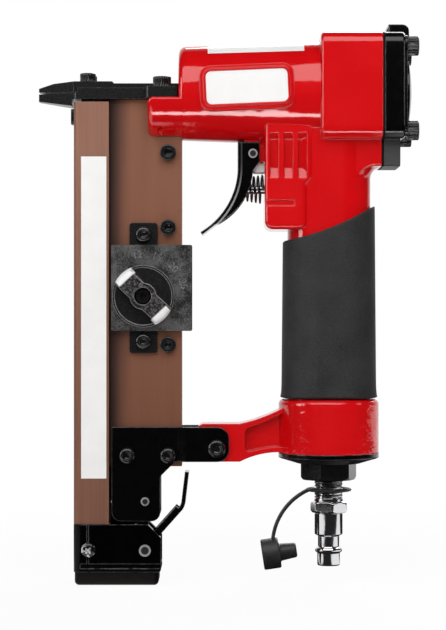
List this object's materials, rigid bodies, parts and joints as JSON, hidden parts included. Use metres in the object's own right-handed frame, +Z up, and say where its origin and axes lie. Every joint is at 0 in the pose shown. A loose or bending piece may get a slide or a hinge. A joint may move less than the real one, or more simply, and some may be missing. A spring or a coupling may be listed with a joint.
{
  "type": "pneumatic pin nailer",
  "caption": "Pistol-shaped pneumatic pin nailer with a cast body, piston drive line, slim pin magazine with sliding cover and latch, pin length dial, trigger and air plug.",
  "frame": {"origin": "free end of the air plug, on the plug's axis", "axes": "+Z up the handle from the plug to the drive axis, +X from the nose to the rear cap, +Y to the side away from the dial"},
  "size_m": [0.1667, 0.0464, 0.2466],
  "materials": {
    "red_enamel": "gloss enamel on a light alloy casting",
    "black_enamel": "gloss black enamel",
    "black_steel": "black oxide, slightly textured",
    "brown_anodised": "satin brown anodising",
    "grip_rubber": "matte rubber with a fine grain",
    "black_rubber": "satin moulded rubber",
    "dial_coating": "mottled dark grey coating",
    "knob_plastic": "satin moulded plastic, worn at the bar's ends",
    "bright_steel": "bright ground steel",
    "chrome_plate": "bright plating",
    "machined_aluminium": "turned",
    "acetal": "turned plastic",
    "gasket_fibre": "pressed fibre sheet",
    "white_plate": "gloss white plate, bare"
  },
  "bodies": {
    "housing": {"main_housing": "red_enamel", "badge_plate": "white_plate", "grip_sleeve": "grip_rubber", "handle_end_cap": "black_enamel", "end_cap_seal": "black_rubber", "inlet_bush": "black_steel", "air_plug": "chrome_plate", "cylinder_sleeve": "machined_aluminium", "bumper": "black_rubber", "head_valve_spring": "bright_steel", "head_gasket": "gasket_fibre", "cylinder_cap": "black_enamel", "exhaust_cover": "black_enamel", "cap_bolts": "black_steel", "nose_base": "black_steel", "nose_cover": "black_steel", "nose_screws": "black_steel", "flange_screws": "black_steel", "near_plate": "brown_anodised", "far_plate": "brown_anodised", "plate_screws": "black_steel", "lug_pin": "bright_steel", "near_bracket": "black_enamel", "far_bracket": "black_enamel", "catch_pin": "bright_steel", "bracket_screws": "black_steel", "arm_bolt": "black_steel", "arm_nut": "black_steel", "selector_strip": "black_enamel", "strip_screws": "black_steel", "dial_plate": "dial_coating", "trigger_pin": "bright_steel", "trigger_valve": "bright_steel", "trigger_spring": "bright_steel"},
    "plug_cover": {"dust_cap": "black_rubber"},
    "drive": {"piston": "machined_aluminium", "piston_ring": "black_rubber", "driver_blade": "bright_steel"},
    "shuttle": {"head_valve": "acetal"},
    "cover": {"magazine_cover": "brown_anodised", "cover_tab": "black_steel", "end_block": "black_enamel", "foot_pad": "knob_plastic", "latch_pin": "bright_steel", "latch_spring": "bright_steel", "pusher_rod": "bright_steel", "pusher_spring": "bright_steel"},
    "latch": {"latch_lever": "black_enamel"},
    "feeder": {"pusher": "bright_steel"},
    "dial": {"length_knob": "knob_plastic", "knob_screw": "bright_steel", "selector_crank": "bright_steel"},
    "rail": {"length_rail": "bright_steel"},
    "trigger_arm": {"trigger": "black_steel"},
    "stem": {"valve_stem": "bright_steel"}
  },
  "joints": [
    {"name": "dust_cap_swivel", "type": "hinge", "parent": "housing", "child": "plug_cover", "pos_m": [0, 0, 0.0336], "axis": [0, 0, 1], "continuous": true},
    {"name": "trigger_pull", "type": "hinge", "parent": "housing", "child": "trigger_arm", "pos_m": [-0.0337, 0, 0.18225], "axis": [0, -1, 0], "range_deg": [0, 12], "stiffness_Nm_per_rad": 0.25, "springref_deg": -8.59, "deforming": ["trigger_spring"]},
    {"name": "stem_push", "type": "slide", "parent": "housing", "child": "stem", "axis": [1, 0, 0], "range_m": [0, 0.0034]},
    {"name": "driver_stroke", "type": "slide", "parent": "housing", "child": "drive", "axis": [-1, 0, 0], "range_m": [0, 0.0449]},
    {"name": "head_valve_lift", "type": "slide", "parent": "housing", "child": "shuttle", "axis": [1, 0, 0], "range_m": [0, 0.004], "stiffness_N_per_m": 300, "springref_m": -0.006, "deforming": ["head_valve_spring"]},
    {"name": "cover_slide", "type": "slide", "parent": "housing", "child": "cover", "axis": [0, 0, -1], "range_m": [0, 0.12]},
    {"name": "latch_turn", "type": "hinge", "parent": "cover", "child": "latch", "pos_m": [-0.0812, 0, 0.0076], "axis": [0, 1, 0], "range_deg": [0, 25], "stiffness_Nm_per_rad": 0.12, "springref_deg": -17.19},
    {"name": "pusher_feed", "type": "slide", "parent": "cover", "child": "feeder", "axis": [0, 0, -1], "range_m": [0, 0.1], "stiffness_N_per_m": 30, "springref_m": -0.06, "deforming": ["pusher_spring"]},
    {"name": "dial_turn", "type": "hinge", "parent": "housing", "child": "dial", "pos_m": [-0.0819, 0, 0.1193], "axis": [0, 1, 0], "range_deg": [0, 120]},
    {"name": "rail_shift", "type": "slide", "parent": "housing", "child": "rail", "axis": [1, 0, 0], "range_m": [0, 0.0131]}
  ],
  "couplings": [
    {"joint": "stem_push", "follows": "trigger_pull", "m_per_rad": 0.0155},
    {"joint": "rail_shift", "follows": "dial_turn", "m_per_rad": 0.0062}
  ]
}
